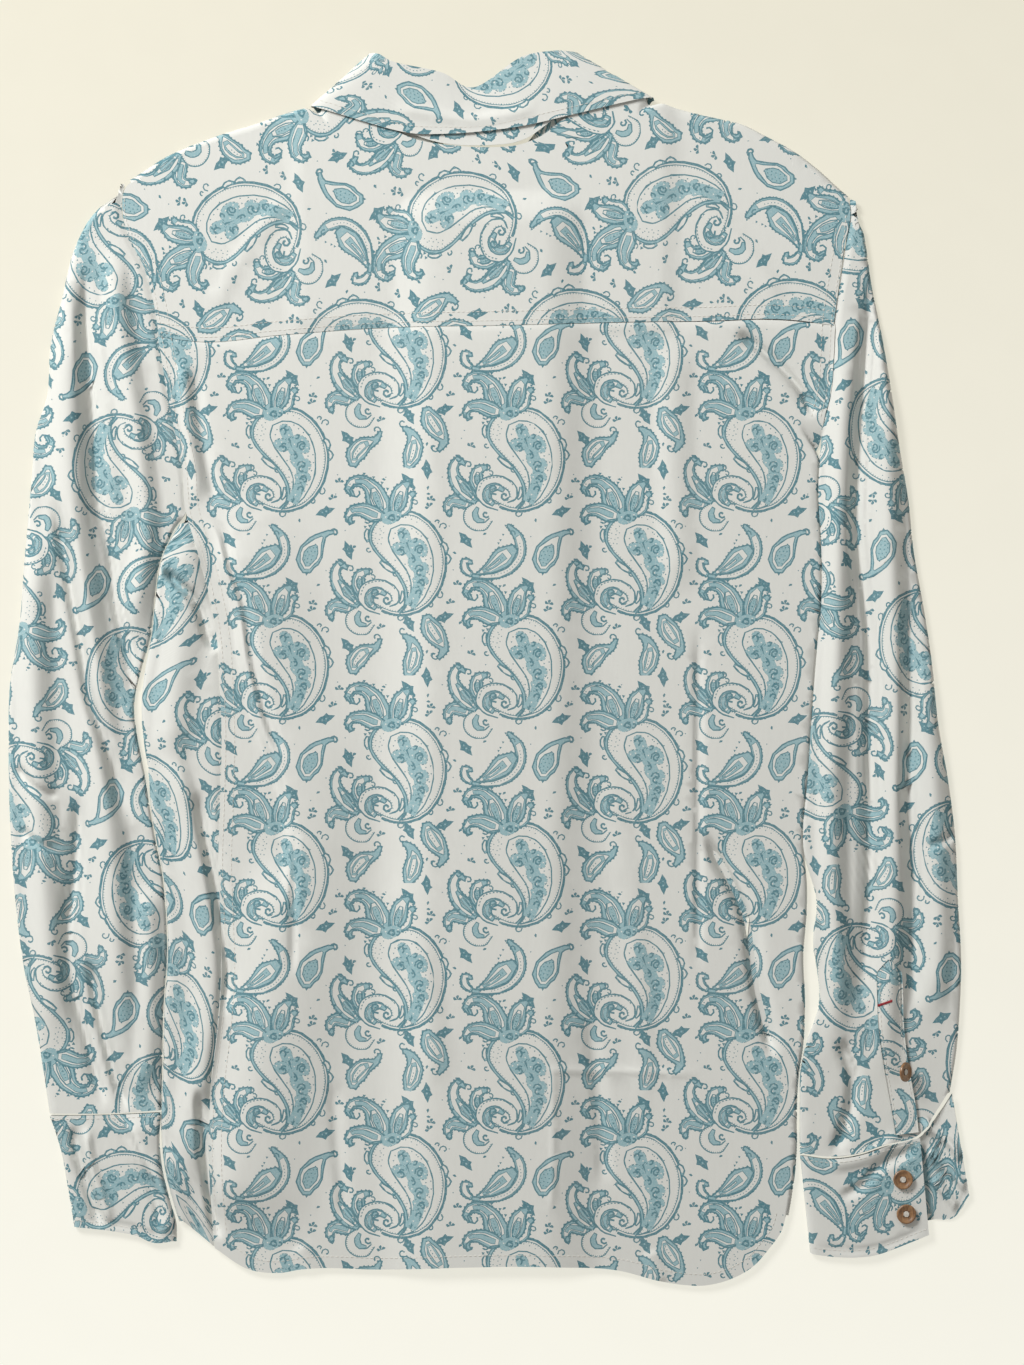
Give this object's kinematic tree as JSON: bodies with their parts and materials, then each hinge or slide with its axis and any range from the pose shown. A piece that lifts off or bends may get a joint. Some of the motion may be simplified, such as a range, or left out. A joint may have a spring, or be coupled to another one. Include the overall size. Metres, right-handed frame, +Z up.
{
  "type": "flame-resistant work shirt",
  "caption": "Women's long-sleeved collared work shirt of printed twill, laid flat face down, with a back yoke, buttoned cuffs and a curved hem.",
  "frame": {"origin": "middle of the outline of the shirt as it lies, on the surface that it lies on", "axes": "+Y from the hem to the collar, +X to the wearer's right, +Z up from the surface, out of the shirt's back"},
  "size_m": [0.5856, 0.7516, 0.017],
  "materials": {
    "printed_twill": "off-white cotton twill with a teal-blue paisley print, matt",
    "horn": "mottled brown horn, half gloss"
  },
  "bodies": {
    "root": {"back": "printed_twill", "yoke": "printed_twill", "front_left": "printed_twill", "front_right": "printed_twill", "front_band": "printed_twill", "sleeve_left": "printed_twill", "sleeve_right": "printed_twill", "placket_right": "printed_twill", "collar_stand": "printed_twill", "collar_fall": "printed_twill", "cuff_left": "printed_twill", "cuff_right": "printed_twill", "button_cuff_1": "horn", "button_cuff_2": "horn", "button_placket": "horn", "button_front_1": "horn", "button_front_2": "horn", "button_front_3": "horn", "button_front_4": "horn", "button_front_5": "horn", "button_front_6": "horn", "button_front_7": "horn"}
  },
  "joints": []
}
